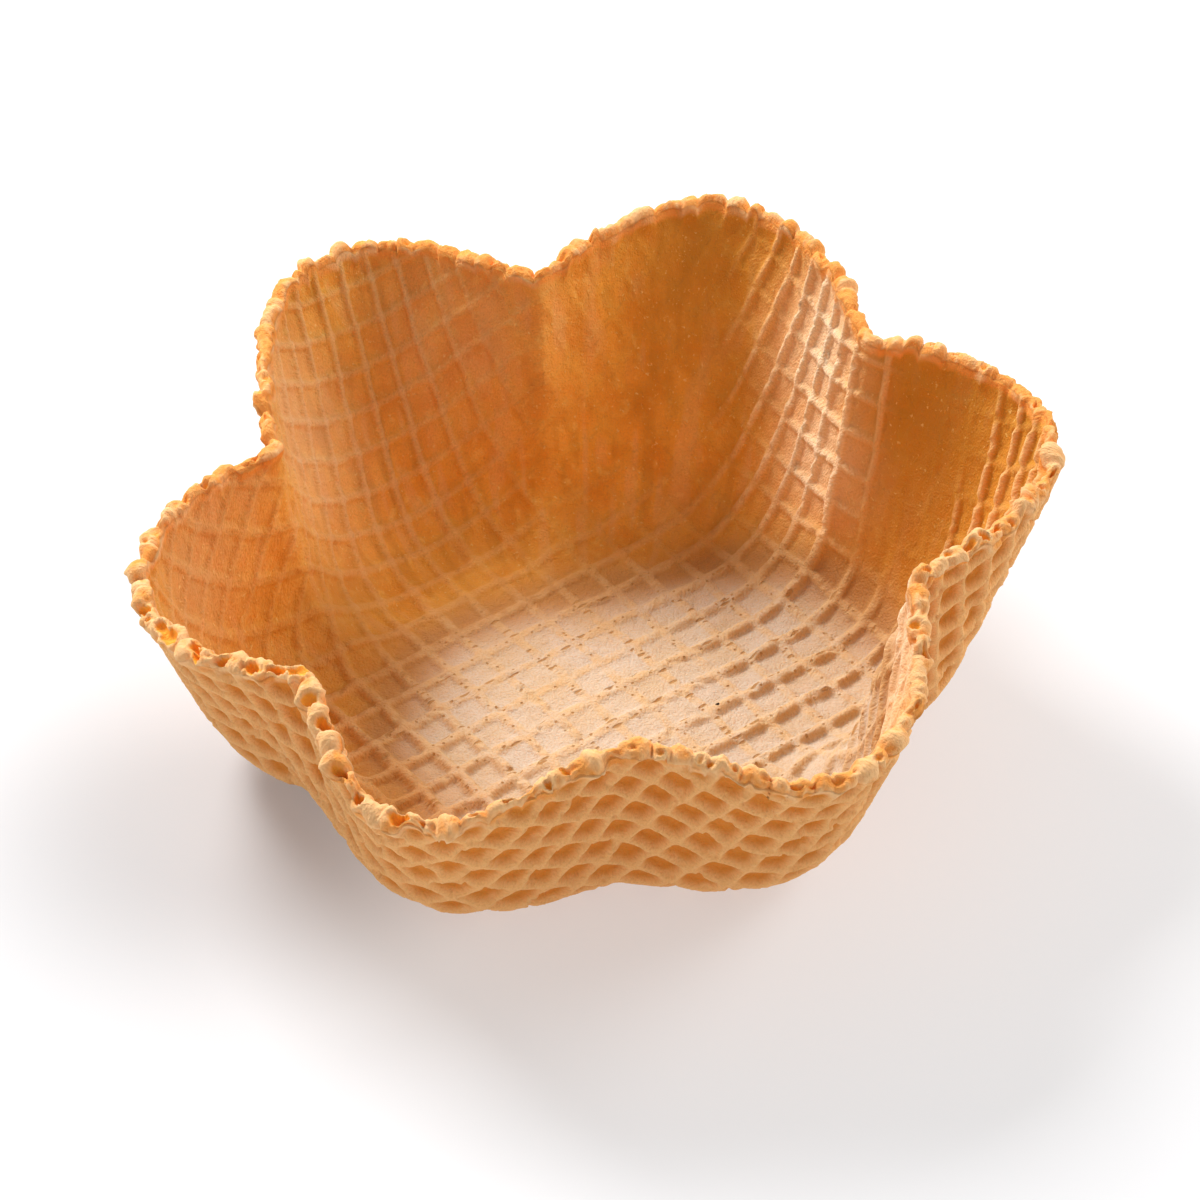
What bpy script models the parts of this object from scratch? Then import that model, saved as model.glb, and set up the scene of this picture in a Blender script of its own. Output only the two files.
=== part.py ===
"""Wafer tulip: a thin waffle disc, formed while hot into an open cup with six lobes and six folds.

The sheet is laid out flat first, on its own square grid of ribs. Each of its points is then carried to its place
on the cup: the middle stays flat as the floor, a rounded corner turns it up, and the rest runs up the wall to the
rim. Sizes are in millimetres and degrees, and the finished mesh is scaled to metres.
"""

import math
import random

import bmesh
import bpy
import numpy as np
from mathutils import Matrix, Vector

NAME = "wafer_cup"
METRES_PER_MM = 0.001

# The baked sheet. Its ribs stand on both faces, with a pocket between each four of them.
RIB_THICKNESS = 3.0
POCKET_THICKNESS = 1.0
RIB_PITCH = 5.4
RIB_BEARING = 37.5
LARGEST_SHEET_RADIUS = 90.0

# The middle of the floor, where the sheet was pressed smooth: no pockets inside the first radius, full ones past
# the second.
SMOOTH_RADIUS = 9.0
FULL_RELIEF_RADIUS = 24.0

# The round between the floor and the wall.
CORNER_RADIUS = 14.0

# Where the middle of the floor lies, so that the box round the uneven cup has its middle over the origin.
FLOOR_MIDDLE = (-1.10, -1.68)

# The broken rim: how far it wanders in and out of its line, and how its thickness tapers.
RIM_WANDER = 0.9
RIM_WEIGHT = 0.8
RIM_SEED = 12

# Two outlines go round the cup, anticlockwise from +X, each by lobes and folds in turn: the rim, and the floor,
# where the wall's line meets it. Each row has a bearing, how full the curve is on the way to the next row (0.5
# meets the fold in a crease, 1.0 is a plain wave), the reach from the middle and, on the rim, the height.
RIM = (
    (12.0, 0.53, 58.5, 39.5),  # right lobe
    (38.5, 0.80, 46.5, 39.0),
    (72.0, 0.65, 61.0, 40.0),  # back right lobe
    (99.0, 0.80, 44.0, 39.0),
    (122.5, 0.72, 60.5, 37.5),  # back left lobe
    (163.5, 0.60, 42.0, 35.5),
    (192.0, 0.58, 56.5, 32.5),  # left lobe
    (226.0, 0.77, 49.5, 39.0),
    (247.5, 0.90, 58.0, 32.0),  # front left lobe
    (276.0, 0.90, 50.0, 40.0),
    (300.5, 0.60, 57.0, 35.0),  # front right lobe
    (332.5, 0.70, 44.0, 41.0),
)
FLOOR = (
    (6.0, 0.7, 43.5),  # right lobe
    (38.0, 0.7, 38.0),
    (70.0, 0.7, 41.0),  # back right lobe
    (99.0, 0.7, 36.5),
    (125.0, 0.7, 41.0),  # back left lobe
    (160.0, 0.7, 37.0),
    (187.0, 0.7, 46.0),  # left lobe
    (212.0, 0.7, 37.0),
    (236.0, 1.0, 43.0),  # front left lobe
    (276.0, 0.9, 34.5),
    (311.0, 0.7, 41.0),  # front right lobe
    (336.0, 0.7, 34.5),
)

WAFER_COLOUR = (0.62, 0.36, 0.15, 1.0)
WAFER_ROUGHNESS = 0.72


def around(outline, bearing):
    """The sizes of an outline at each bearing, a row for each size."""
    starts, fullness = np.array(outline)[:, :2].T
    sizes = np.array(outline)[:, 2:]
    from_first = (bearing - starts[0]) % 360.0
    here = np.searchsorted(starts - starts[0], from_first, side="right") - 1
    following = (here + 1) % len(outline)
    span = (starts[following] - starts[here]) % 360.0
    share = (from_first - (starts[here] - starts[0])) / span
    starts_at_lobe = here % 2 == 0
    lobe = np.where(starts_at_lobe, here, following)
    fold = np.where(starts_at_lobe, following, here)
    from_fold = np.where(starts_at_lobe, 1.0 - share, share)
    swell = np.sin(0.5 * math.pi * from_fold) ** (2.0 * fullness[here])
    return (sizes[fold] + (sizes[lobe] - sizes[fold]) * swell[:, None]).T


def profile(bearing):
    """The flat floor's end, the wall's slope and the sheet's edge, measured along the sheet, at each bearing."""
    (floor,) = around(FLOOR, bearing)
    reach, height = around(RIM, bearing)
    run = reach - floor
    rise = height - RIB_THICKNESS / 2.0
    slope = np.arctan2(rise, run)
    tangent = CORNER_RADIUS * np.tan(slope / 2.0)
    flat_end = floor - tangent
    edge = flat_end + CORNER_RADIUS * slope + np.hypot(run, rise) - tangent
    return flat_end, slope, edge


def rim_bearings():
    """Two matching rows: bearings on the flat sheet, and the rim bearings that they are carried to.

    Equal lengths of the sheet's edge become equal lengths of the rim, so the ribs stay evenly spread round it.
    """
    formed = np.linspace(-360.0, 360.0, 1441)
    reach, height = around(RIM, formed)
    turn = np.radians(formed)
    rim = np.stack([reach * np.cos(turn), reach * np.sin(turn), height])
    length = np.concatenate([[0.0], np.cumsum(np.linalg.norm(np.diff(rim), axis=0))])
    flat = np.interp(length, [0.0, length[-1]], [formed[0], formed[-1]])
    return flat - np.mean(flat - formed), formed


def formed_points(x, y):
    """The cup's middle surface at the flat sheet's points, with the sheet's edge at each of them."""
    along = np.hypot(x, y)
    flat_bearing = np.degrees(np.arctan2(y, x))
    rim_bearing = np.interp(flat_bearing, *rim_bearings())
    flat_end, _, edge = profile(rim_bearing)
    climb = np.clip((along - flat_end) / (edge - flat_end), 0.0, 1.0)
    bearing = flat_bearing + (rim_bearing - flat_bearing) * climb
    flat_end, slope, _ = profile(bearing)
    past = np.maximum(along - flat_end, 0.0)
    angle = np.minimum(past / CORNER_RADIUS, slope)
    straight = past - CORNER_RADIUS * angle
    out = np.minimum(along, flat_end) + CORNER_RADIUS * np.sin(angle) + straight * np.cos(slope)
    up = CORNER_RADIUS * (1.0 - np.cos(angle)) + straight * np.sin(slope)
    turn = np.radians(bearing)
    across = FLOOR_MIDDLE[0] + out * np.cos(turn)
    back = FLOOR_MIDDLE[1] + out * np.sin(turn)
    return np.stack([across, back, RIB_THICKNESS / 2.0 + up], axis=1), edge


def flat_coordinates(sheet):
    points = np.array([vert.co for vert in sheet.verts])
    return points[:, 0], points[:, 1]


def flat_sheet():
    """A flat grid with two squares to each rib pitch, each square cut from its rib crossing to its pocket."""
    half_pitch = RIB_PITCH / 2.0
    halves = 2 * math.ceil(LARGEST_SHEET_RADIUS / RIB_PITCH)
    sheet = bmesh.new()
    is_pocket = sheet.verts.layers.int.new("pocket")
    bmesh.ops.create_grid(
        sheet, x_segments=2 * halves, y_segments=2 * halves, size=halves * half_pitch
    )
    cut_ends = set()
    for vert in sheet.verts:
        column = round(vert.co.x / half_pitch)
        row = round(vert.co.y / half_pitch)
        if column % 2 == row % 2:
            cut_ends.add(vert)
            vert[is_pocket] = column % 2
    for face in list(sheet.faces):
        first, second = (vert for vert in face.verts if vert in cut_ends)
        bmesh.utils.face_split(face, first, second)
    turn = Matrix.Rotation(math.radians(RIB_BEARING), 4, "Z")
    bmesh.ops.transform(sheet, matrix=turn, verts=sheet.verts)
    return sheet


def trim_to_edge(sheet):
    """Drops what lies past the sheet's edge, then moves the new boundary onto the edge's broken line."""
    x, y = flat_coordinates(sheet)
    _, edge = formed_points(x, y)
    outside = np.hypot(x, y) > edge + RIB_PITCH / 5.0
    drop = [vert for vert, out in zip(list(sheet.verts), outside) if out]
    bmesh.ops.delete(sheet, geom=drop, context="VERTS")
    while True:
        ears = [face for face in sheet.faces if sum(e.is_boundary for e in face.edges) > 1]
        if not ears:
            break
        bmesh.ops.delete(sheet, geom=ears, context="FACES")
    loose = [vert for vert in sheet.verts if not vert.link_faces]
    bmesh.ops.delete(sheet, geom=loose, context="VERTS")
    draw = random.Random(RIM_SEED)
    boundary = [vert for vert in sheet.verts if vert.is_boundary]
    x = np.array([vert.co.x for vert in boundary])
    y = np.array([vert.co.y for vert in boundary])
    _, edge = formed_points(x, y)
    for vert, limit in zip(boundary, edge):
        wander = draw.uniform(-RIM_WANDER, RIM_WANDER)
        vert.co *= (limit + wander) / vert.co.length


def thickness_weights(sheet, is_pocket):
    """The share of the ribs' thickness at each point: pockets are thin, the floor's middle and the ribs full."""
    weights = []
    pocket = POCKET_THICKNESS / RIB_THICKNESS
    for vert in sheet.verts:
        radius = vert.co.length
        relief = (radius - SMOOTH_RADIUS) / (FULL_RELIEF_RADIUS - SMOOTH_RADIUS)
        relief = min(max(relief, 0.0), 1.0)
        if vert.is_boundary:
            weights.append(RIM_WEIGHT)
        elif vert[is_pocket]:
            weights.append(1.0 - relief * (1.0 - pocket))
        else:
            weights.append(1.0)
    return weights


def wafer_material():
    material = bpy.data.materials.new("wafer")
    material.use_nodes = True
    surface = material.node_tree.nodes["Principled BSDF"]
    surface.inputs["Base Color"].default_value = WAFER_COLOUR
    surface.inputs["Roughness"].default_value = WAFER_ROUGHNESS
    surface.inputs["Metallic"].default_value = 0.0
    material.diffuse_color = WAFER_COLOUR
    return material


def wafer_cup(collection):
    """The formed sheet as an open surface, given its thickness by a Solidify modifier."""
    sheet = flat_sheet()
    is_pocket = sheet.verts.layers.int["pocket"]
    trim_to_edge(sheet)
    weights = thickness_weights(sheet, is_pocket)
    points, _ = formed_points(*flat_coordinates(sheet))
    for vert, point in zip(sheet.verts, points):
        vert.co = Vector(point) * METRES_PER_MM
    mesh = bpy.data.meshes.new(NAME)
    sheet.to_mesh(mesh)
    sheet.free()
    cup = bpy.data.objects.new(NAME, mesh)
    collection.objects.link(cup)
    mesh.materials.append(wafer_material())
    mesh.shade_flat()  # smooth shading would blur the pockets away
    group = cup.vertex_groups.new(name="thickness")
    for index, weight in enumerate(weights):
        group.add([index], weight, "REPLACE")
    solidify = cup.modifiers.new("thickness", "SOLIDIFY")
    solidify.thickness = RIB_THICKNESS * METRES_PER_MM
    solidify.offset = 0.0
    solidify.vertex_group = group.name
    return cup


def main():
    for leftover in list(bpy.data.objects):
        bpy.data.objects.remove(leftover, do_unlink=True)
    collection = bpy.data.collections.new("wafer tulip")
    bpy.context.scene.collection.children.link(collection)
    wafer_cup(collection)


main()
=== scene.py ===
"""Wafer tulip: the baked surface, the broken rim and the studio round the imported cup.

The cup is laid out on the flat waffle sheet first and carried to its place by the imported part's rules. Both
of its faces, and the rim between them, are one closed mesh. Sizes are in millimetres and degrees, and the
finished mesh is scaled to metres.
"""

import itertools
import math
from types import SimpleNamespace
from typing import NamedTuple

import bpy
import numpy as np
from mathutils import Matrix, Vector

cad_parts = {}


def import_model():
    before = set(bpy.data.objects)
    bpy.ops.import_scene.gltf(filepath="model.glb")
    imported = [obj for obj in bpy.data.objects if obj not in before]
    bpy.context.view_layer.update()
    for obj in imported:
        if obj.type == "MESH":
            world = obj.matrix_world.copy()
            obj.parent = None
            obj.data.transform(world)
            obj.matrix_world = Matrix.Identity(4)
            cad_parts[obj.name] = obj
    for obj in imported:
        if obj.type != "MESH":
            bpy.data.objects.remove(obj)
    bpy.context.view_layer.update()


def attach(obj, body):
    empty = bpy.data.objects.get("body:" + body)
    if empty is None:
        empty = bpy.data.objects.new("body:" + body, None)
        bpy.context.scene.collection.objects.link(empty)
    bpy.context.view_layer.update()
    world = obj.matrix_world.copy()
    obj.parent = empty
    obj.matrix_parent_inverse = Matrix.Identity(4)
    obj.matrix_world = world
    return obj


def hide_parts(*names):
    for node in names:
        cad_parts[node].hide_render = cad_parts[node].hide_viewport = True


NODE = "wafer_cup"
PIECE = "baked_wafer"
METRES_PER_MM = 0.001
NOISE_LATTICE = 32  # cells of noise along each axis before it repeats


class Noise(NamedTuple):
    """Smooth noise: its height, the width of its cells, a seed and how far apart the two faces read it."""

    height: float
    cell: float
    seed: int
    apart: float = 0.0

    def at(self, places, face=0.0):
        """Values between -1 and 1 at each place. The face is 1 for the inner one and -1 for the outer one."""
        draw = np.random.default_rng(self.seed)
        table = draw.uniform(-1.0, 1.0, (NOISE_LATTICE, NOISE_LATTICE, NOISE_LATTICE))
        scaled = (places + self.apart * face) / self.cell
        base = np.floor(scaled).astype(int)
        part = scaled - base
        part = part * part * (3.0 - 2.0 * part)
        total = np.zeros(len(places))
        for corner in itertools.product((0, 1), repeat=3):
            weight = np.prod(np.where(corner, part, 1.0 - part), axis=1)
            index = (base + corner) % NOISE_LATTICE
            total += weight * table[tuple(index.T)]
        return total


# ---- The cup's form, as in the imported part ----

RIB_THICKNESS = 3.0
RIB_PITCH = 5.4
RIB_BEARING = 37.5
SMOOTH_RADIUS = 9.0
FULL_RELIEF_RADIUS = 24.0
CORNER_RADIUS = 14.0
FLOOR_MIDDLE = (-1.10, -1.68)

# Two outlines go round the cup, anticlockwise from +X, each by lobes and folds in turn: the rim, and the
# floor, where the wall's line meets it. Each row has a bearing, how full the curve is on the way to the next
# row (0.5 meets the fold in a crease, 1.0 is a plain wave), the reach from the middle and, on the rim, the
# height.
RIM = (
    (12.0, 0.53, 58.5, 39.5),  # right lobe
    (38.5, 0.80, 46.5, 39.0),
    (72.0, 0.65, 61.0, 40.0),  # back right lobe
    (99.0, 0.80, 44.0, 39.0),
    (122.5, 0.72, 60.5, 37.5),  # back left lobe
    (163.5, 0.60, 42.0, 35.5),
    (192.0, 0.58, 56.5, 32.5),  # left lobe
    (226.0, 0.77, 49.5, 39.0),
    (247.5, 0.90, 58.0, 32.0),  # front left lobe
    (276.0, 0.90, 50.0, 40.0),
    (300.5, 0.60, 57.0, 35.0),  # front right lobe
    (332.5, 0.70, 44.0, 41.0),
)
FLOOR = (
    (6.0, 0.7, 43.5),  # right lobe
    (38.0, 0.7, 38.0),
    (70.0, 0.7, 41.0),  # back right lobe
    (99.0, 0.7, 36.5),
    (125.0, 0.7, 41.0),  # back left lobe
    (160.0, 0.7, 37.0),
    (187.0, 0.7, 46.0),  # left lobe
    (212.0, 0.7, 37.0),
    (236.0, 1.0, 43.0),  # front left lobe
    (276.0, 0.9, 34.5),
    (311.0, 0.7, 41.0),  # front right lobe
    (336.0, 0.7, 34.5),
)

# ---- The mesh ----

CELLS = 420  # across the sheet, which makes them about 0.36 mm wide
RIM_ROWS = 12  # rows of points across the rim, from one face to the other
NORMAL_STEP = 1.2  # to each side of a point, for the sheet's slope there

# What the material needs at each point, besides its place on the flat sheet. Each is about 0 to 1.
VALUES = (
    "rib",
    "side",
    "line",
    "rim",
    "cell",
    "baked",
    "pale",
    "streak",
    "crest",
    "dark",
    "brown",
    "outside",
)

# The material reads its noise at the flat sheet's places, at a level of its own for each face and each row of
# the rim.
INNER_LEVEL = 5.0
OUTER_LEVEL = 20.0
RIM_LEVEL = 8.0
RIM_LEVEL_STEP = 0.3

# ---- The relief of the two faces ----

# Inside, narrow rounded ribs stand on wide plates, and the forming die has flattened them more in some places
# than in others. Outside, a rib is a narrow crest between pockets like bowls.
INNER_FOOT = 1.15  # from the middle of a rib to the plate beside it
INNER_SIDE = 0.85  # the width of a rib's sloping side
WALL_NARROWING = 0.25  # of both, on the wall
WALL_CLIMB = 1.4 * CORNER_RADIUS  # along the sheet, from the floor's relief to the wall's
INNER_DEPTH = 1.05
MIDDLE_DEPTH = 0.30  # the share of it in the middle of the floor
CROSSING_SINK = 0.85  # how far a flattened rib of the first direction presses down one that crosses it
CREST_RADIUS = 0.42
BOWL_SIDE = 1.60
OUTER_DEPTH = 1.30
RIM_FILLING = 0.55  # the share of the relief that is gone at the rim
MEMBRANE = 0.15  # each face stays at least this far from the middle surface

RIB_WOBBLES = (Noise(0.28, 4.5, 21), Noise(0.28, 4.5, 22))  # one for each direction of ribs
RIB_SINK = Noise(0.22, 2.6, 31, 50.0)  # how much the ribs' tops rise and fall
PITS = Noise(0.45, 1.3, 35, 30.0)  # small open cells in the ribs' tops
PIT_START = 0.40  # of the noise, with the span over which a pit deepens
PIT_SPAN = 0.25
GRAIN = Noise(0.10, 0.8, 32, 90.0)

# The wall's waves and wrinkles set in past a radius, over a span. Wrinkles and baked streaks run up the wall,
# because their noise is read at radii that rise more slowly than the sheet's own.
WAVES = Noise(0.25, 11.0, 30)
WRINKLES = Noise(0.22, 3.6, 34)
WAVES_START = 45.0
WAVES_SPAN = 20.0
STREAK_RADIUS = 60.0  # of the noise, in the middle of the sheet
WRINKLE_RISE = 0.12
STREAK_RISE = 0.35
STREAKS = (Noise(0.3, 1.9, 36), Noise(0.2, 4.75, 37))

# How high the ribs stand inside, by the flat sheet's bearing, and the radius inside which the sheet is
# coloured pale: partly less browned, partly painted light, as the radius is larger where the floor is lit and
# smaller where it lies in shade. Of the two directions of ribs, the first is the one at a right angle to the
# rib bearing.
PRESSED = (
    # bearing, the two on the floor, the two on the wall, pale radius
    (8.0, 0.35, 1.0, 0.30, 1.0, 33.0),  # right lobe
    (15.0, 0.30, 1.0, 0.20, 0.80, 32.0),
    (19.0, 0.30, 0.95, 0.12, 0.12, 31.0),
    (30.0, 0.30, 0.95, 0.12, 0.12, 30.0),
    (34.5, 0.30, 0.90, 0.45, 0.85, 29.0),
    (44.0, 0.30, 0.80, 0.60, 0.72, 27.0),
    (58.0, 0.30, 0.60, 0.25, 0.80, 24.0),
    (70.0, 0.30, 0.50, 0.10, 0.15, 17.0),  # back right lobe
    (96.0, 0.30, 0.40, 0.12, 0.12, 13.0),
    (110.0, 0.30, 0.40, 0.35, 0.30, 12.0),
    (120.0, 0.35, 0.40, 0.55, 0.35, 12.0),  # back left lobe
    (143.0, 0.40, 0.40, 0.45, 0.40, 14.0),
    (176.0, 0.60, 0.60, 0.28, 0.25, 16.0),  # left lobe
    (210.0, 0.95, 0.90, 0.50, 0.50, 19.0),
    (240.0, 0.90, 1.0, 0.60, 0.60, 26.0),  # front left lobe
    (270.0, 0.60, 1.0, 0.50, 0.60, 31.0),
    (310.0, 0.45, 1.0, 0.40, 0.40, 38.0),  # front right lobe
    (326.0, 0.40, 1.0, 0.45, 0.60, 50.0),
    (342.0, 0.35, 1.0, 0.40, 0.70, 42.0),
    (356.0, 0.35, 1.0, 0.35, 0.80, 36.0),
)
PALE_FADE = 20.0  # from the pale radius to the sheet's full wall colour

# Patches inside: painted light where the inside looks pale, painted shade where it looks darker, and browning
# at the wall's foot with painted shade where the walls shade the floor. Each row has a bearing and a radius
# on the flat sheet, a reach and a share.
# Painted light: paler colour where the flank, the right front wall and the left walls catch the lamps.
PAINTED_LIGHT_PATCHES = (
    (48.0, 68.0, 22.0, 1.0),
    (44.0, 54.0, 18.0, 0.9),
    (328.0, 62.0, 34.0, 1.0),
    (146.0, 60.0, 28.0, 0.40),
    (200.0, 52.0, 24.0, 0.40),
    (180.0, 66.0, 24.0, 0.30),
    (112.0, 68.0, 30.0, 0.22),
)
# Painted shade: darker colour where the fold casts its shadow on the right lobe, and on other shaded walls.
PAINTED_SHADE_PATCHES = (
    (25.0, 66.0, 30.0, 1.0),
    (10.0, 82.0, 32.0, 1.0),
    (72.0, 74.0, 30.0, 0.6),
    (63.0, 60.0, 16.0, 0.7),
    (188.0, 60.0, 30.0, 0.5),
)
# Browning by the wall's foot, and painted shade where the back and left walls shade the floor.
BROWNING_AND_SHADE_PATCHES = (
    (122.0, 27.0, 22.0, 0.40),
    (94.0, 24.0, 20.0, 0.50),
    (62.0, 34.0, 20.0, 0.50),
    (22.0, 48.0, 22.0, 0.35),
    (222.0, 36.0, 22.0, 0.88),
    (166.0, 34.0, 24.0, 0.68),
)
BURNT_SPECK = (16.2, -0.7, INNER_LEVEL)
BURNT_RADIUS = 0.35

# ---- The broken rim ----

# Rounded beads stand side by side along the rim.
BEAD_SEED = 5
BEAD_SPANS = (1.6, 4.0)  # degrees of the flat sheet, about 2.2 to 5.4 mm
BEAD_HEIGHTS = (0.2, 1.5)
BEAD_BASE = -1.1  # where a bead starts, from the sheet's edge
BEAD_LEAN = 0.45  # at most, to either side
BEAD_SWELLS = (0.85, 1.50)
BEAD_BLUNTNESS = 0.45
PUFFED = (222.0, 42.0, 0.14)  # where the sheet puffed up: a bearing, a reach and the thickness that it adds
PUFFED_FADE = 1.5  # the larger, the more of that reach is fully puffed
RIM_TAPER = 2.8
RIM_SHARE = 0.86  # of the ribs' thickness, at the rim
RIM_ROUND = 1.1  # how far the rim bulges between the two faces
RIM_CRUMB = Noise(0.48, 2.5, 41)
FINE_CRUMB = Noise(0.18, 0.7, 42)
FACE_CRUMB = Noise(0.216, 2.5, 33, 70.0)  # on the faces beside the rim
CREST_SHARES = (0.45, 0.25)  # how much the coarse and the fine crumb paint the rim paler on its crests, as painted highlight, and deeper in its hollows, as painted shade
BACK_RIM_BAKE = 0.22  # how much less pale crumb there is at the back

# Open air cells along the rim: small ones everywhere, and larger ones where the sheet puffed up and at the
# right front. Each row has their count and the ranges of their bearing, half length, half width and depth.
CELL_SEED = 8
CELL_ROWS = (
    (90, (0.0, 360.0), (0.45, 1.0), (0.35, 0.65), (0.4, 1.0)),
    (20, (196.0, 252.0), (1.0, 1.7), (0.6, 0.95), (1.2, 1.9)),
    (12, (318.0, 372.0), (0.7, 1.3), (0.5, 0.8), (1.0, 1.7)),
)
CELL_OFFSET = 0.45  # at most, from the middle of the rim, as a share of its half thickness


def smooth_step(values):
    held = np.clip(values, 0.0, 1.0)
    return held * held * (3.0 - 2.0 * held)


def polar(radius, bearing):
    return radius * np.cos(np.radians(bearing)), radius * np.sin(np.radians(bearing))


def level_places(x, y, level=0.0):
    """Points of the flat sheet at one level."""
    return np.stack([x, y, np.full(len(x), level)], axis=1)


def around(outline, bearing):
    """The sizes of an outline at each bearing, a row for each size."""
    starts, fullness = np.array(outline)[:, :2].T
    sizes = np.array(outline)[:, 2:]
    from_first = (bearing - starts[0]) % 360.0
    here = np.searchsorted(starts - starts[0], from_first, side="right") - 1
    following = (here + 1) % len(outline)
    span = (starts[following] - starts[here]) % 360.0
    share = (from_first - (starts[here] - starts[0])) / span
    starts_at_lobe = here % 2 == 0
    lobe = np.where(starts_at_lobe, here, following)
    fold = np.where(starts_at_lobe, following, here)
    from_fold = np.where(starts_at_lobe, 1.0 - share, share)
    swell = np.sin(0.5 * math.pi * from_fold) ** (2.0 * fullness[here])
    return (sizes[fold] + (sizes[lobe] - sizes[fold]) * swell[:, None]).T


def profile(bearing):
    """The flat floor's end, the wall's slope and the sheet's edge at each bearing, along the sheet."""
    (floor,) = around(FLOOR, bearing)
    reach, height = around(RIM, bearing)
    run = reach - floor
    rise = height - RIB_THICKNESS / 2.0
    slope = np.arctan2(rise, run)
    tangent = CORNER_RADIUS * np.tan(slope / 2.0)
    flat_end = floor - tangent
    edge = flat_end + CORNER_RADIUS * slope + np.hypot(run, rise) - tangent
    return flat_end, slope, edge


def rim_bearings():
    """Two matching rows: bearings on the flat sheet, and the rim bearings that they are carried to."""
    formed = np.linspace(-360.0, 360.0, 1441)
    reach, height = around(RIM, formed)
    turn = np.radians(formed)
    rim = np.stack([reach * np.cos(turn), reach * np.sin(turn), height])
    length = np.concatenate([[0.0], np.cumsum(np.linalg.norm(np.diff(rim), axis=0))])
    flat = np.interp(length, [0.0, length[-1]], [formed[0], formed[-1]])
    return flat - np.mean(flat - formed), formed


def flat_profile(flat_bearing):
    """The flat floor's end and the sheet's edge at each of the flat sheet's bearings."""
    flat_end, _, edge = profile(np.interp(flat_bearing, *rim_bearings()))
    return flat_end, edge


def formed_points(x, y):
    """The cup's middle surface at the flat sheet's points."""
    along = np.hypot(x, y)
    flat_bearing = np.degrees(np.arctan2(y, x))
    rim_bearing = np.interp(flat_bearing, *rim_bearings())
    flat_end, _, edge = profile(rim_bearing)
    climb = np.clip((along - flat_end) / (edge - flat_end), 0.0, 1.0)
    bearing = flat_bearing + (rim_bearing - flat_bearing) * climb
    flat_end, slope, _ = profile(bearing)
    past = np.maximum(along - flat_end, 0.0)
    angle = np.minimum(past / CORNER_RADIUS, slope)
    straight = past - CORNER_RADIUS * angle
    out = np.minimum(along, flat_end) + CORNER_RADIUS * np.sin(angle) + straight * np.cos(slope)
    up = CORNER_RADIUS * (1.0 - np.cos(angle)) + straight * np.sin(slope)
    turn = np.radians(bearing)
    across = FLOOR_MIDDLE[0] + out * np.cos(turn)
    back = FLOOR_MIDDLE[1] + out * np.sin(turn)
    return np.stack([across, back, RIB_THICKNESS / 2.0 + up], axis=1)


def formed_normals(x, y):
    """The middle surface's normals, which point up from the floor and in from the walls."""
    along_x = formed_points(x + NORMAL_STEP, y) - formed_points(x - NORMAL_STEP, y)
    along_y = formed_points(x, y + NORMAL_STEP) - formed_points(x, y - NORMAL_STEP)
    normals = np.cross(along_x, along_y)
    return normals / np.linalg.norm(normals, axis=1)[:, None]


def disc_grid():
    """A square grid carried onto a disc: each point's share of the way to the edge, and its flat bearing."""
    line = np.linspace(-1.0, 1.0, CELLS + 1)
    a, b = np.meshgrid(line, line, indexing="ij")
    a, b = a.ravel(), b.ravel()
    share = np.maximum(np.abs(a), np.abs(b))
    from_x = np.abs(a) >= np.abs(b)
    eighth = np.where(from_x, b, a) / np.maximum(share, 1e-12) * 45.0
    bearing = np.where(
        from_x,
        np.where(a >= 0.0, eighth, 180.0 - eighth),
        np.where(b >= 0.0, 90.0 - eighth, 270.0 + eighth),
    )
    return share, bearing % 360.0


def beads(bearing):
    """The beads at each of the sheet's bearings: how far they stand out, lean inwards and swell."""
    draw = np.random.default_rng(BEAD_SEED)
    ends = [0.0]
    while ends[-1] < 360.0 - BEAD_SPANS[1]:
        ends.append(ends[-1] + draw.uniform(*BEAD_SPANS))
    ends.append(360.0)
    ends = np.array(ends)
    heights = draw.uniform(*BEAD_HEIGHTS, len(ends))
    leans = draw.uniform(-BEAD_LEAN, BEAD_LEAN, len(ends))
    swells = draw.uniform(*BEAD_SWELLS, len(ends))
    here = np.clip(np.searchsorted(ends, bearing, side="right") - 1, 0, len(ends) - 2)
    share = (bearing - ends[here]) / (ends[here + 1] - ends[here])
    dome = np.clip(1.0 - (2.0 * share - 1.0) ** 2, 0.0, 1.0) ** BEAD_BLUNTNESS
    middle, reach, puff = PUFFED
    puffed = smooth_step(PUFFED_FADE * (1.0 - np.abs(bearing - middle) / reach))
    swell = 1.0 + (swells[here] - 1.0) * dome + puff * puffed
    return BEAD_BASE + heights[here] * dome, leans[here] * dome, swell


def air_cells(flat_bearing, across):
    """How deep the open air cells in the rim are. Across is 1 at the inner face and -1 at the outer one."""
    draw = np.random.default_rng(CELL_SEED)
    half = RIB_THICKNESS / 2.0 * RIM_SHARE
    _, edge = flat_profile(flat_bearing)
    depth = np.zeros(len(flat_bearing))
    for count, bearings, lengths, widths, depths in CELL_ROWS:
        for _ in range(count):
            bearing = draw.uniform(*bearings)
            middle = draw.uniform(-CELL_OFFSET, CELL_OFFSET)
            length, width, deepest = draw.uniform(*lengths), draw.uniform(*widths), draw.uniform(*depths)
            off = (flat_bearing - bearing + 180.0) % 360.0 - 180.0
            square = (np.radians(off) * edge / length) ** 2 + ((across - middle) * half / width) ** 2
            depth = np.maximum(depth, deepest * np.sqrt(np.clip(1.0 - square, 0.0, 1.0)))
    return depth


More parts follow.
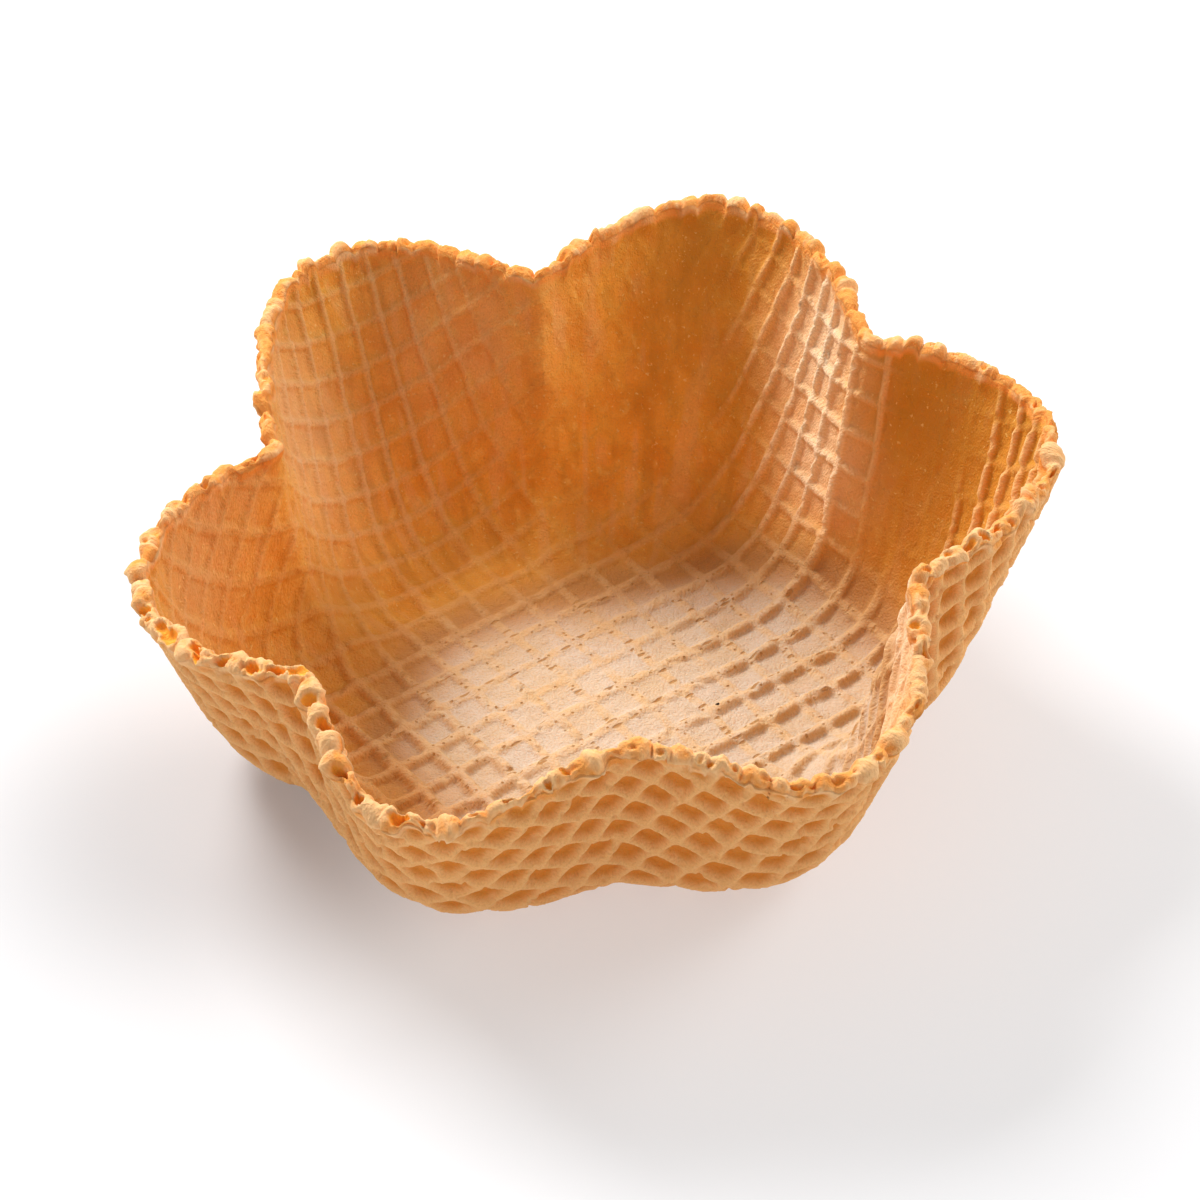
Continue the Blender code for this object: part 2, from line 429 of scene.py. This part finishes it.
def rib_offsets(x, y):
    """How far the flat sheet's points lie past the nearest rib of each of the two directions."""
    turn = math.radians(RIB_BEARING)
    places = level_places(x, y)
    along = x * math.cos(turn) + y * math.sin(turn)
    across = y * math.cos(turn) - x * math.sin(turn)
    offsets = []
    for line, wobble in zip((along, across), RIB_WOBBLES):
        line = line + wobble.height * wobble.at(places)
        offsets.append(((line / RIB_PITCH + 0.5) % 1.0 - 0.5) * RIB_PITCH)
    return offsets


def inner_ribs(x, y, climb):
    """1 on the tops of the ribs of each of the two directions and 0 on the plates."""
    foot = INNER_FOOT - WALL_NARROWING * climb
    side = INNER_SIDE - WALL_NARROWING * climb
    return [smooth_step((foot - np.abs(off)) / side) for off in rib_offsets(x, y)]


def outer_pockets(x, y):
    """0 on the ribs' crests and 1 at the bottoms of the bowls."""
    share = 1.0
    for off in rib_offsets(x, y):
        fall = (np.hypot(off, CREST_RADIUS) - CREST_RADIUS) / BOWL_SIDE
        share = share * np.sin(0.5 * math.pi * np.clip(fall, 0.0, 1.0))
    return share


def pressed(flat_bearing, radius):
    """How high the inner ribs of the two directions stand, how far up the wall, and how far from the pale
    floor's colour to the wall's, from 0 to 1.
    """
    columns = np.array(PRESSED).T
    first_floor, second_floor, first_wall, second_wall, pale = (
        np.interp(flat_bearing, columns[0], column, period=360.0) for column in columns[1:]
    )
    flat_end, _ = flat_profile(flat_bearing)
    climb = smooth_step((radius - flat_end) / WALL_CLIMB)
    first = first_floor + (first_wall - first_floor) * climb
    second = second_floor + (second_wall - second_floor) * climb
    return first, second, climb, smooth_step((radius - pale) / PALE_FADE)


def patches(rows, x, y):
    """The strongest of some round patches at each of the flat sheet's points."""
    strength = np.zeros(len(x))
    for bearing, radius, reach, share in rows:
        middle = polar(radius, bearing)
        away = np.hypot(x - middle[0], y - middle[1])
        strength = np.maximum(strength, share * smooth_step(1.0 - away / reach))
    return strength


class Sheet:
    """The flat sheet's grid of points, and the cup's middle surface, thickness and bake at each of them."""

    def __init__(self):
        share, self.bearing = disc_grid()
        stand_out, lean, swell = beads(self.bearing)
        _, edge = flat_profile(self.bearing)
        self.edge = edge + stand_out
        self.radius = share * self.edge
        self.x, self.y = polar(self.radius, self.bearing)
        self.places = level_places(self.x, self.y)
        self.near_rim = 1.0 - smooth_step((self.edge - self.radius) / RIM_TAPER)
        self.half = RIB_THICKNESS / 2.0 * (1.0 + (RIM_SHARE * swell - 1.0) * self.near_rim)
        self.relief = smooth_step((self.radius - SMOOTH_RADIUS) / (FULL_RELIEF_RADIUS - SMOOTH_RADIUS))

        up_wall = smooth_step((self.radius - WAVES_START) / WAVES_SPAN)
        wrinkles = WRINKLES.height * WRINKLES.at(self.drawn_out(WRINKLE_RISE)) * up_wall
        waves = WAVES.height * WAVES.at(self.places) + wrinkles
        lean_in = lean * self.near_rim + waves * up_wall
        self.normals = formed_normals(self.x, self.y)
        self.middle = formed_points(self.x, self.y) + self.normals * lean_in[:, None]

        self.back_bake = BACK_RIM_BAKE * smooth_step(0.5 + np.sin(np.radians(self.bearing)))
        streaked = self.drawn_out(STREAK_RISE)
        self.streak = 0.5 + sum(kind.height * kind.at(streaked) for kind in STREAKS)

    def drawn_out(self, rise):
        """Places for noise that runs up the wall, in longer streaks for a lower rise."""
        return level_places(*polar(STREAK_RADIUS + rise * self.radius, self.bearing))


class Layers:
    """The mesh's points, one face or row of the rim after another, and what the material needs at them."""

    def __init__(self):
        self.points = []
        self.flat_places = []
        self.values = {name: [] for name in VALUES}

    def add(self, points, flat_places, **given):
        """Adds points. Values that aren't given are 0."""
        self.points.append(points)
        self.flat_places.append(flat_places)
        for name, values in self.values.items():
            values.append(np.broadcast_to(given.get(name, 0.0), len(points)))

    def mesh(self, faces):
        mesh = bpy.data.meshes.new(PIECE)
        mesh.from_pydata(np.concatenate(self.points) * METRES_PER_MM, [], faces)
        mesh.shade_smooth()
        places = mesh.attributes.new("flat_place", "FLOAT_VECTOR", "POINT")
        places.data.foreach_set("vector", np.concatenate(self.flat_places).astype(np.float32).ravel())
        for name, values in self.values.items():
            attribute = mesh.attributes.new(name, "FLOAT", "POINT")
            attribute.data.foreach_set("value", np.concatenate(values).astype(np.float32))
        return mesh


def add_face(layers, sheet, face, level, pressed_in, rib, **given):
    """Adds one face of the sheet: the inner one where the face is 1, and the outer one where it is -1."""
    places = sheet.places
    sink = RIB_SINK.height * (0.5 + 0.5 * RIB_SINK.at(places, face))
    pit = PITS.height * rib * smooth_step((PITS.at(places, face) - PIT_START) / PIT_SPAN)
    grain = GRAIN.height * GRAIN.at(places, face)
    crumb = FACE_CRUMB.at(places, face)
    rise = sheet.half - pressed_in * (1.0 - RIM_FILLING * sheet.near_rim) - sink - pit + grain
    rise = rise + FACE_CRUMB.height * sheet.near_rim * crumb
    points = sheet.middle + sheet.normals * (face * np.maximum(rise, MEMBRANE))[:, None]
    # High crumb is painted pale as highlight, low crumb deeper orange as shade.
    crest = 0.5 + 0.5 * crumb - sheet.back_bake
    flat_places = level_places(sheet.x, sheet.y, level)
    layers.add(points, flat_places, rib=rib, rim=sheet.near_rim, streak=sheet.streak, crest=crest, **given)


def add_inner_face(layers, sheet):
    first_height, second_height, climb, baked = pressed(sheet.bearing, sheet.radius)
    first, second = inner_ribs(sheet.x, sheet.y, climb)
    between_crossings = 1.0 - CROSSING_SINK * first * (1.0 - first_height)
    standing = 1.0 - (1.0 - first_height * first) * (1.0 - second_height * second * between_crossings)
    depth = INNER_DEPTH * (MIDDLE_DEPTH + (1.0 - MIDDLE_DEPTH) * sheet.relief)
    # The steep sides of the floor's ribs, which the material paints tan: partly browning, partly painted
    # shade.
    steep_sides = 4.0 * np.maximum(
        first * (1.0 - first) * (1.0 - second) * first_height**2,
        second * (1.0 - second) * (1.0 - first) * second_height**2,
    )
    add_face(
        layers,
        sheet,
        1.0,
        INNER_LEVEL,
        depth * (1.0 - standing),
        standing,
        side=steep_sides * sheet.relief,
        line=np.maximum(first, second),
        baked=baked,
        pale=patches(PAINTED_LIGHT_PATCHES, sheet.x, sheet.y),
        dark=patches(PAINTED_SHADE_PATCHES, sheet.x, sheet.y),
        brown=patches(BROWNING_AND_SHADE_PATCHES, sheet.x, sheet.y),
    )


def add_outer_face(layers, sheet):
    pockets = outer_pockets(sheet.x, sheet.y)
    depth = OUTER_DEPTH * sheet.relief * pockets
    rib = sheet.relief * (1.0 - pockets)
    add_face(layers, sheet, -1.0, OUTER_LEVEL, depth, rib, baked=1.0, outside=1.0)


def add_rim(layers, sheet, loop):
    """Adds the rows of the rim, from the inner face to the outer one."""
    inner, outer = (points[loop] for points in layers.points)
    bearing, edge = sheet.bearing[loop], sheet.edge[loop]
    line_x, line_y = polar(edge, bearing)
    rim_line = formed_points(line_x, line_y)
    for row in range(RIM_ROWS):
        turn = math.pi * (row + 1) / (RIM_ROWS + 1)
        across, bulge = math.cos(turn), math.sin(turn)
        spots = level_places(line_x, line_y, across * RIB_THICKNESS / 2.0)
        coarse, fine = RIM_CRUMB.at(spots), FINE_CRUMB.at(spots)
        crumb = RIM_CRUMB.height * coarse + FINE_CRUMB.height * fine
        depth = air_cells(bearing, across)
        reach = edge + (RIM_ROUND + crumb - depth) * bulge
        stretch = formed_points(*polar(reach, bearing)) - rim_line
        between = 0.5 * (inner * (1.0 + across) + outer * (1.0 - across))
        layers.add(
            between + stretch + sheet.normals[loop] * (across * crumb)[:, None],
            level_places(sheet.x[loop], sheet.y[loop], RIM_LEVEL + RIM_LEVEL_STEP * row),
            rib=0.5,
            rim=1.0,
            cell=np.clip(depth, 0.0, 1.0),
            baked=1.0,
            streak=sheet.streak[loop],
            # High crumb is painted pale as highlight, low crumb deeper orange as shade.
            crest=0.5 + CREST_SHARES[0] * coarse + CREST_SHARES[1] * fine - sheet.back_bake[loop],
            outside=0.5 - 0.5 * across,
        )


def grid_index():
    return np.arange((CELLS + 1) ** 2).reshape(CELLS + 1, CELLS + 1)


def boundary_loop():
    """The grid's outermost points in order."""
    index = grid_index()
    return np.concatenate([index[:-1, 0], index[-1, :-1], index[:0:-1, -1], index[0, :0:-1]])


def closed_faces(loop):
    """The faces of the inner grid, of the outer grid and of the rim's rows between them."""
    index = grid_index()
    grid = index.size
    corners = [index[:-1, :-1], index[1:, :-1], index[1:, 1:], index[:-1, 1:]]
    inner = np.stack(corners, axis=-1).reshape(-1, 4)
    outer = inner[:, ::-1] + grid
    rows = [loop]
    rows += [2 * grid + row * len(loop) + np.arange(len(loop)) for row in range(RIM_ROWS)]
    rows.append(loop + grid)
    strips = [
        np.stack([near, far, np.roll(far, -1), np.roll(near, -1)], axis=-1)
        for near, far in zip(rows[:-1], rows[1:])
    ]
    return np.concatenate([inner, outer, *strips]).tolist()


def wafer_mesh():
    """The closed mesh of both faces and the rim, with what the material needs at each of its points."""
    sheet = Sheet()
    layers = Layers()
    loop = boundary_loop()
    add_inner_face(layers, sheet)
    add_outer_face(layers, sheet)
    add_rim(layers, sheet, loop)
    return layers.mesh(closed_faces(loop))


# ---- Material ----

# The wall inside, from its pockets to its ribs, with its darker and paler streaks, a painted glow and painted
# glints, and patches of painted shade and painted light.
POCKET_COLOUR = (0.95, 0.43, 0.060, 1.0)
BROWNED_COLOUR = (0.84, 0.32, 0.033, 1.0)
# Painted light: a glow as of light shining through the thin wall, and small painted glints.
PAINTED_GLOW_COLOUR = (1.0, 0.56, 0.12, 1.0)
PAINTED_GLINT_COLOUR = (1.0, 0.68, 0.22, 1.0)
RIB_COLOUR = (0.97, 0.54, 0.22, 1.0)
# Also the colour of the painted shade patches.
DARK_COLOUR = (0.62, 0.24, 0.02, 1.0)
VEIL_COLOUR = (0.95, 0.50, 0.19, 1.0)
# Painted light: the pockets and ribs of the pale patches.
LIT_PEACH_COLOUR = (0.98, 0.67, 0.40, 1.0)
LIT_CREAM_COLOUR = (1.0, 0.77, 0.53, 1.0)
OUTER_POCKET_COLOUR = (0.75, 0.25, 0.03, 1.0)
OUTER_RIB_COLOUR = (0.96, 0.49, 0.18, 1.0)

# The floor: its plates, the lines and sides of its ribs, and the husk brown towards the wall, which is partly
# browning and partly painted shade where the walls shade the floor.
FLOOR_COLOUR = (0.68, 0.505, 0.33, 1.0)
PLATE_COLOUR = (0.69, 0.56, 0.43, 1.0)
LINE_COLOUR = (0.75, 0.48, 0.23, 1.0)
# Partly painted shade, on the steep sides of the floor's ribs.
TAN_AND_SHADE_COLOUR = (0.58, 0.31, 0.085, 1.0)
HUSK_AND_SHADE_COLOUR = (0.45, 0.18, 0.034, 1.0)

# The rim, with painted highlight on its crests, painted shade in its hollows and a painted glow in its air
# cells; the pores and the specks.
CRUMB_AND_HIGHLIGHT_COLOUR = (1.0, 0.57, 0.26, 1.0)
SHADED_HOLLOW_COLOUR = (1.0, 0.38, 0.08, 1.0)
CELL_GLOW_COLOUR = (1.0, 0.42, 0.05, 1.0)
GRIT_COLOUR = (0.62, 0.28, 0.06, 1.0)
PORE_COLOUR = (0.42, 0.19, 0.05, 1.0)
BURNT_COLOUR = (0.02, 0.01, 0.005, 1.0)

# How fine the colours' noises are, for each millimetre of the flat sheet.
BLOTCH_SCALE = 0.16
MOTTLE_SCALE = 0.55
SPECKLE_SCALE = 1.7
GRIT_SCALE = 3.2

PORE_CORE = 0.55  # the share of a pore's size that is fully dark
PORE_CHANCE_STEP = 0.02

SURFACE = {
    "Specular IOR Level": 0.15,
    "Subsurface Weight": 0.25,
    "Subsurface Radius": (1.0, 0.9, 0.7),
    "Subsurface Scale": 0.0007,
}
BUMP_STRENGTH = 0.75
BUMP_DISTANCE = 0.0003


class Nodes:
    """Short ways to add shader nodes to one tree."""

    def __init__(self, tree):
        self.tree = tree

    def add(self, kind, **settings):
        node = self.tree.nodes.new(kind)
        for name, value in settings.items():
            setattr(node, name, value)
        return node

    def feed(self, value, socket):
        """Links a socket's output, or sets a plain value."""
        if isinstance(value, bpy.types.NodeSocket):
            self.tree.links.new(value, socket)
        else:
            socket.default_value = value

    def attribute(self, name, output="Fac"):
        return self.add("ShaderNodeAttribute", attribute_name=name).outputs[output]

    def noise(self, places, scale, detail=3.0):
        node = self.add("ShaderNodeTexNoise")
        self.feed(scale, node.inputs["Scale"])
        self.feed(detail, node.inputs["Detail"])
        self.feed(places, node.inputs["Vector"])
        return node.outputs["Fac"]

    def remap(self, value, start, end, low=0.0, high=1.0):
        """A smooth run from low to high while the value goes from start to end."""
        node = self.add("ShaderNodeMapRange", interpolation_type="SMOOTHSTEP")
        self.feed(value, node.inputs["Value"])
        for name, number in (("From Min", start), ("From Max", end), ("To Min", low), ("To Max", high)):
            self.feed(number, node.inputs[name])
        return node.outputs["Result"]

    def maths(self, operation, first, second):
        node = self.add("ShaderNodeMath", operation=operation)
        self.feed(first, node.inputs[0])
        self.feed(second, node.inputs[1])
        return node.outputs[0]

    def times(self, first, second):
        return self.maths("MULTIPLY", first, second)

    def distance(self, places, middle):
        node = self.add("ShaderNodeVectorMath", operation="DISTANCE")
        self.feed(places, node.inputs[0])
        self.feed(middle, node.inputs[1])
        return node.outputs["Value"]

    def over(self, colour, *coats):
        """A colour with coats over it, one after another. Each coat has its share and its colour."""
        for share, coat in coats:
            node = self.add("ShaderNodeMix", data_type="RGBA")
            self.feed(share, node.inputs[0])
            self.feed(colour, node.inputs[6])
            self.feed(coat, node.inputs[7])
            colour = node.outputs[2]
        return colour

    def pores(self, places, scale, size, stretch, rarity):
        """1 inside scattered pores and 0 round them. Rarity is the share of the places that have none."""
        squeezed = self.add("ShaderNodeVectorMath", operation="MULTIPLY")
        self.feed(places, squeezed.inputs[0])
        self.feed(stretch, squeezed.inputs[1])
        cells = self.add("ShaderNodeTexVoronoi", voronoi_dimensions="2D")
        self.feed(scale, cells.inputs["Scale"])
        self.feed(squeezed.outputs[0], cells.inputs["Vector"])
        chosen = self.add("ShaderNodeSeparateColor")
        self.feed(cells.outputs["Color"], chosen.inputs[0])
        spot = self.remap(cells.outputs["Distance"], size, PORE_CORE * size)
        return self.times(spot, self.remap(chosen.outputs[0], rarity, rarity + PORE_CHANCE_STEP))


def wall_colour(nodes, wafer):
    """The mottled and streaked wall with pale ribs, a painted glow and painted glints, patches of painted
    shade and of painted light, and the outside of the cup.
    """
    lit_patch = nodes.over(LIT_PEACH_COLOUR, (nodes.remap(wafer.rib, 0.2, 0.8), LIT_CREAM_COLOUR))
    outer = nodes.over(OUTER_POCKET_COLOUR, (nodes.remap(wafer.rib, 0.1, 0.9), OUTER_RIB_COLOUR))
    return nodes.over(
        POCKET_COLOUR,
        (nodes.remap(wafer.blotch, 0.35, 0.7), BROWNED_COLOUR),
        (nodes.remap(wafer.mottle, 0.5, 0.8, 0.0, 0.5), BROWNED_COLOUR),
        # Painted glow, in patches where the mottle is low.
        (nodes.remap(wafer.mottle, 0.45, 0.25, 0.0, 0.6), PAINTED_GLOW_COLOUR),
        (nodes.remap(wafer.streak, 0.55, 0.80, 0.0, 0.4), DARK_COLOUR),
        (nodes.remap(wafer.streak, 0.45, 0.20, 0.0, 0.35), VEIL_COLOUR),
        # Painted shade: the dark patches, where the walls lie in shadow.
        (nodes.times(wafer.dark, 0.9), DARK_COLOUR),
        # Painted glints, in small bright flecks.
        (nodes.remap(wafer.speckle, 0.62, 0.74, 0.0, 0.7), PAINTED_GLINT_COLOUR),
        (nodes.remap(wafer.rib, 0.1, 0.9), RIB_COLOUR),
        # Painted light: the pale patches, peach with cream ribs.
        (wafer.pale, lit_patch),
        (wafer.outside, outer),
    )


def floor_colour(nodes, wafer):
    """Plates that turn brown towards the wall, partly browning and partly painted shade, under the lines of
    the ribs and their tan sides.
    """
    lined = nodes.times(nodes.remap(wafer.line, 0.2, 0.9), nodes.remap(wafer.mottle, 0.35, 0.65, 0.25, 0.7))
    return nodes.over(
        FLOOR_COLOUR,
        (nodes.remap(wafer.blotch, 0.3, 0.7), PLATE_COLOUR),
        (nodes.remap(wafer.baked, 0.0, 0.5, 0.0, 0.85), HUSK_AND_SHADE_COLOUR),
        (lined, LINE_COLOUR),
        # Tan sides of the ribs, partly browning and partly painted shade.
        (nodes.times(wafer.side, 0.6), TAN_AND_SHADE_COLOUR),
    )


def pore_share(nodes, wafer):
    """Slits along the ribs and pinholes, both in the ribs' tops and fewer where the colour turns from the
    pale floor's to the wall's.
    """
    turned = nodes.add("ShaderNodeVectorRotate", rotation_type="Z_AXIS")
    nodes.feed(wafer.flat, turned.inputs["Vector"])
    nodes.feed(-math.radians(RIB_BEARING), turned.inputs["Angle"])
    along_ribs = turned.outputs["Vector"]
    slits = nodes.pores(along_ribs, scale=0.75, size=0.26, stretch=(0.35, 1.3, 1.0), rarity=0.64)
    pinholes = nodes.pores(wafer.flat, scale=0.90, size=0.20, stretch=(1.0, 1.0, 1.0), rarity=0.70)
    holes = nodes.times(nodes.maths("MAXIMUM", slits, pinholes), nodes.remap(wafer.line, 0.3, 0.8))
    return nodes.times(holes, nodes.remap(wafer.baked, 0.0, 1.0, 0.8, 0.15))


def wafer_colour(nodes, wafer, pores):
    """The floor, the wall and the rim, whose crests are pale crumb with painted highlight and whose hollows a
    deeper orange as painted shade.
    """
    # Painted highlight on the rim's crests and painted shade in its hollows.
    crumb = nodes.over(SHADED_HOLLOW_COLOUR, (nodes.remap(wafer.crest, 0.15, 0.75), CRUMB_AND_HIGHLIGHT_COLOUR))
    crumbly = nodes.times(
        nodes.remap(wafer.rim, 0.5, 1.0),
        nodes.remap(wafer.mottle, 0.30, 0.50, 0.6, 1.0),
    )
    gritty = nodes.times(
        nodes.remap(wafer.grit, 0.40, 0.70, 0.0, 0.30),
        nodes.remap(wafer.rim, 1.0, 0.0, 0.3, 1.0),
    )
    from_speck = nodes.distance(wafer.flat, BURNT_SPECK)
    return nodes.over(
        floor_colour(nodes, wafer),
        # From the pale floor to the deep orange wall: partly browning, partly painted light on the lit floor
        # and painted shade on the walls.
        (nodes.remap(wafer.baked, 0.5, 1.0), wall_colour(nodes, wafer)),
        # Browning and painted shade on the floor where the walls shade it.
        (wafer.brown, HUSK_AND_SHADE_COLOUR),
        (crumbly, crumb),
        # Painted glow inside the open air cells, as of light shining through their thin walls.
        (nodes.remap(wafer.cell, 0.25, 0.8), CELL_GLOW_COLOUR),
        (pores, PORE_COLOUR),
        (gritty, GRIT_COLOUR),
        (nodes.remap(from_speck, BURNT_RADIUS, 0.7 * BURNT_RADIUS), BURNT_COLOUR),
    )


def wafer_material():
    material = bpy.data.materials.new("baked wafer")
    material.use_nodes = True
    surface = material.node_tree.nodes["Principled BSDF"]
    nodes = Nodes(material.node_tree)
    wafer = SimpleNamespace(**{name: nodes.attribute(name) for name in VALUES})
    wafer.flat = nodes.attribute("flat_place", "Vector")
    wafer.blotch = nodes.noise(wafer.flat, BLOTCH_SCALE)
    wafer.mottle = nodes.noise(wafer.flat, MOTTLE_SCALE)
    wafer.speckle = nodes.noise(wafer.flat, SPECKLE_SCALE, 4.0)
    wafer.grit = nodes.noise(wafer.flat, GRIT_SCALE, 2.0)
    pores = pore_share(nodes, wafer)
    nodes.feed(wafer_colour(nodes, wafer, pores), surface.inputs["Base Color"])
    nodes.feed(nodes.remap(wafer.speckle, 0.3, 0.7, 0.60, 0.85), surface.inputs["Roughness"])
    for name, value in SURFACE.items():
        nodes.feed(value, surface.inputs[name])
    bump = nodes.add("ShaderNodeBump")
    nodes.feed(BUMP_STRENGTH, bump.inputs["Strength"])
    nodes.feed(BUMP_DISTANCE, bump.inputs["Distance"])
    height = nodes.maths("SUBTRACT", nodes.maths("ADD", wafer.speckle, wafer.grit), pores)
    nodes.feed(height, bump.inputs["Height"])
    nodes.feed(bump.outputs["Normal"], surface.inputs["Normal"])
    return material


# ---- Studio ----

CAMERA_ELEVATION = 42.1
CAMERA_DISTANCE = 0.540
CAMERA_LENS = 125.0
SENSOR_WIDTH = 36.0
PHOTO_SIDE = 1200.0
FLOOR_MIDDLE_PIXEL = (591.5, 716.8)  # where the photograph has the middle of the cup's floor

GROUND_SIDE = 3.0
GROUND_COLOUR = (0.50, 0.50, 0.51, 1.0)
GROUND_ROUGHNESS = 0.9
GROUND_SPECULAR = 0.1
GROUND_GLOW = 0.45

# The ground glows less in a soft round shade beside the cup: its middle, the distances between which it fades
# and the glow inside it.
SHADE_PLACE = (-0.050, -0.022, 0.0)
SHADE_SPAN = (0.008, 0.042)
SHADE_GLOW = 0.16

WHITE = (1.0, 1.0, 1.0, 1.0)
SKY_STRENGTH = 0.42

# Each light's name, place, side and power, all aimed at the middle of the cup.
LIGHTS = (
    ("key", (-0.41, 0.47, 0.61), 0.36, 8.8),
    ("low light", (0.62, 0.24, 0.46), 0.40, 2.9),
)


def add_camera():
    """Looks past the floor's middle, turned by as much as the photograph has it off its own middle."""
    turn = math.radians(CAMERA_ELEVATION)
    back = Vector((0.0, -math.cos(turn), math.sin(turn)))
    up = Vector((0.0, math.sin(turn), math.cos(turn)))
    right = Vector((1.0, 0.0, 0.0))
    middle = Vector((*FLOOR_MIDDLE, 0.0)) * METRES_PER_MM
    pixels = CAMERA_LENS / SENSOR_WIDTH * PHOTO_SIDE
    across = (PHOTO_SIDE / 2.0 - FLOOR_MIDDLE_PIXEL[0]) / pixels
    above = (FLOOR_MIDDLE_PIXEL[1] - PHOTO_SIDE / 2.0) / pixels
    data = bpy.data.cameras.new("camera")
    data.lens = CAMERA_LENS
    data.sensor_width = SENSOR_WIDTH
    camera = bpy.data.objects.new("camera", data)
    bpy.context.scene.collection.objects.link(camera)
    camera.location = middle + back * CAMERA_DISTANCE
    view = -back + right * across + up * above
    camera.rotation_euler = view.to_track_quat("-Z", "Y").to_euler()
    bpy.context.scene.camera = camera


def ground_material():
    material = bpy.data.materials.new("ground")
    material.use_nodes = True
    surface = material.node_tree.nodes["Principled BSDF"]
    nodes = Nodes(material.node_tree)
    nodes.feed(GROUND_COLOUR, surface.inputs["Base Color"])
    nodes.feed(GROUND_ROUGHNESS, surface.inputs["Roughness"])
    nodes.feed(GROUND_SPECULAR, surface.inputs["Specular IOR Level"])
    nodes.feed(WHITE, surface.inputs["Emission Color"])
    places = nodes.add("ShaderNodeTexCoord").outputs["Object"]
    glow = nodes.remap(nodes.distance(places, SHADE_PLACE), *SHADE_SPAN, SHADE_GLOW, GROUND_GLOW)
    nodes.feed(glow, surface.inputs["Emission Strength"])
    return material


def add_ground():
    half = GROUND_SIDE / 2.0
    mesh = bpy.data.meshes.new("ground")
    square = [(-half, -half, 0.0), (half, -half, 0.0), (half, half, 0.0), (-half, half, 0.0)]
    mesh.from_pydata(square, [], [(0, 1, 2, 3)])
    mesh.materials.append(ground_material())
    ground = bpy.data.objects.new("ground", mesh)
    bpy.context.scene.collection.objects.link(ground)


def add_lights():
    world = bpy.data.worlds.new("studio")
    world.use_nodes = True
    sky = world.node_tree.nodes["Background"]
    sky.inputs["Color"].default_value = WHITE
    sky.inputs["Strength"].default_value = SKY_STRENGTH
    bpy.context.scene.world = world
    for name, place, side, power in LIGHTS:
        data = bpy.data.lights.new(name, "AREA")
        data.energy = power
        data.size = side
        light = bpy.data.objects.new(name, data)
        bpy.context.scene.collection.objects.link(light)
        light.location = place
        light.rotation_euler = (-light.location).to_track_quat("-Z", "Y").to_euler()


def corners(bounds):
    return [list(corner) for corner in bounds]


def main():
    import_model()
    wafer = bpy.data.objects.new(PIECE, wafer_mesh())
    bpy.context.scene.collection.objects.link(wafer)
    wafer.data.materials.append(wafer_material())
    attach(wafer, "root")
    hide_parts(NODE)
    add_ground()
    add_lights()
    add_camera()
    bpy.context.scene.view_settings.view_transform = "Standard"
    bpy.context.view_layer.update()


main()
